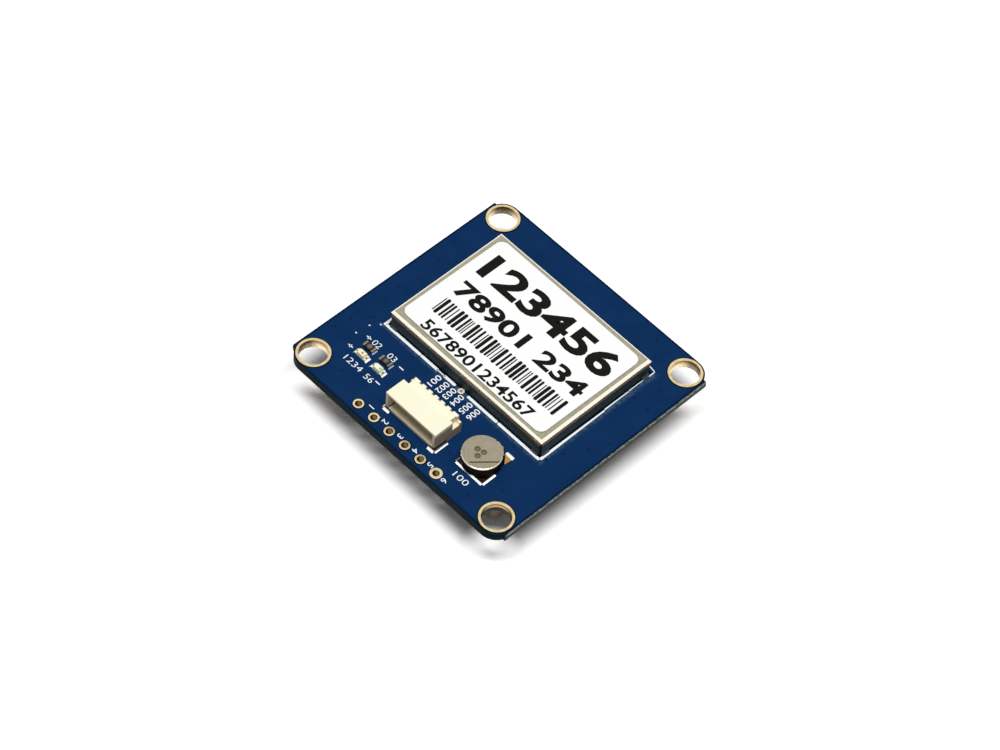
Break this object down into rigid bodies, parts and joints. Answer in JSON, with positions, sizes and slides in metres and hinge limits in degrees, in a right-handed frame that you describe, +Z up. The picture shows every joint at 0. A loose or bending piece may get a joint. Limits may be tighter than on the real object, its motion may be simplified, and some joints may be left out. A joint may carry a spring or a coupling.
{
  "type": "gps module",
  "caption": "Square satellite positioning receiver board with a shielded receiver, wire socket and backup cell above and a ceramic patch antenna below.",
  "frame": {"origin": "under the middle of the board, at the lowest point of the antenna side", "axes": "+Z up through the component side, -Y towards the edge with the wire holes, +X from the lamps towards the backup cell"},
  "size_m": [0.035, 0.0344, 0.0089],
  "materials": {
    "solder_mask": "satin blue solder mask over glass cloth",
    "gold_plating": "pale gold plating",
    "shield_metal": "bright tinned nickel silver sheet",
    "label_paper": "white printed label",
    "solder": "bright reflowed solder",
    "chip_epoxy": "matt black moulding",
    "filter_ceramic": "fired ceramic",
    "lead_tin": "tinned metal",
    "lid_metal": "plated lid",
    "inductor_ferrite": "dark ferrite",
    "capacitor_ceramic": "fired ceramic",
    "antenna_ceramic": "fired antenna ceramic",
    "silver_film": "fired silver film",
    "adhesive_pad": "double-sided foam tape",
    "socket_plastic": "ivory moulded plastic",
    "contact_metal": "plated contact metal",
    "cell_steel": "satin steel",
    "cell_gasket": "black gasket",
    "tab_metal": "satin nickel strip",
    "lamp_board": "white lamp base",
    "power_lens": "milky amber-tinted lens",
    "signal_lens": "milky green-tinted lens",
    "amber_die": "amber die",
    "green_die": "green die",
    "resistor_coat": "black glass coat"
  },
  "bodies": {
    "root": {"printed_board": "solder_mask", "mounting_hole_plating": "gold_plating", "header_hole_plating": "gold_plating", "ground_via_plating": "gold_plating", "shield_can": "shield_metal", "shield_label": "label_paper", "shield_solder": "solder", "receiver_chip": "chip_epoxy", "compass_chip": "chip_epoxy", "amplifier_chip": "chip_epoxy", "antenna_filter": "filter_ceramic", "memory_chip": "chip_epoxy", "memory_leads": "lead_tin", "regulator_chip": "chip_epoxy", "regulator_leads": "lead_tin", "oscillator_base": "filter_ceramic", "oscillator_lid": "lid_metal", "clock_crystal_base": "filter_ceramic", "clock_crystal_lid": "lid_metal", "bias_inductor": "inductor_ferrite", "bias_inductor_ends": "lead_tin", "capacitor_bodies": "capacitor_ceramic", "capacitor_ends": "lead_tin", "antenna_ceramic": "antenna_ceramic", "antenna_patch": "silver_film", "antenna_ground": "silver_film", "antenna_adhesive": "adhesive_pad", "antenna_feed_pin": "lead_tin", "feed_pin_solder": "solder", "socket_housing": "socket_plastic", "socket_contacts": "contact_metal", "socket_hold_downs": "lead_tin", "socket_solder": "solder", "cell_can": "cell_steel", "cell_gasket": "cell_gasket", "cell_cap": "cell_steel", "cell_top_tab": "tab_metal", "cell_bottom_tab": "tab_metal", "cell_solder": "solder", "power_lamp_base": "lamp_board", "power_lamp_ends": "gold_plating", "power_lamp_die": "amber_die", "power_lamp_lens": "power_lens", "signal_lamp_base": "lamp_board", "signal_lamp_ends": "gold_plating", "signal_lamp_die": "green_die", "signal_lamp_lens": "signal_lens", "power_resistor": "resistor_coat", "power_resistor_ends": "lead_tin", "signal_resistor": "resistor_coat", "signal_resistor_ends": "lead_tin", "lamp_row_solder": "solder"}
  },
  "joints": []
}
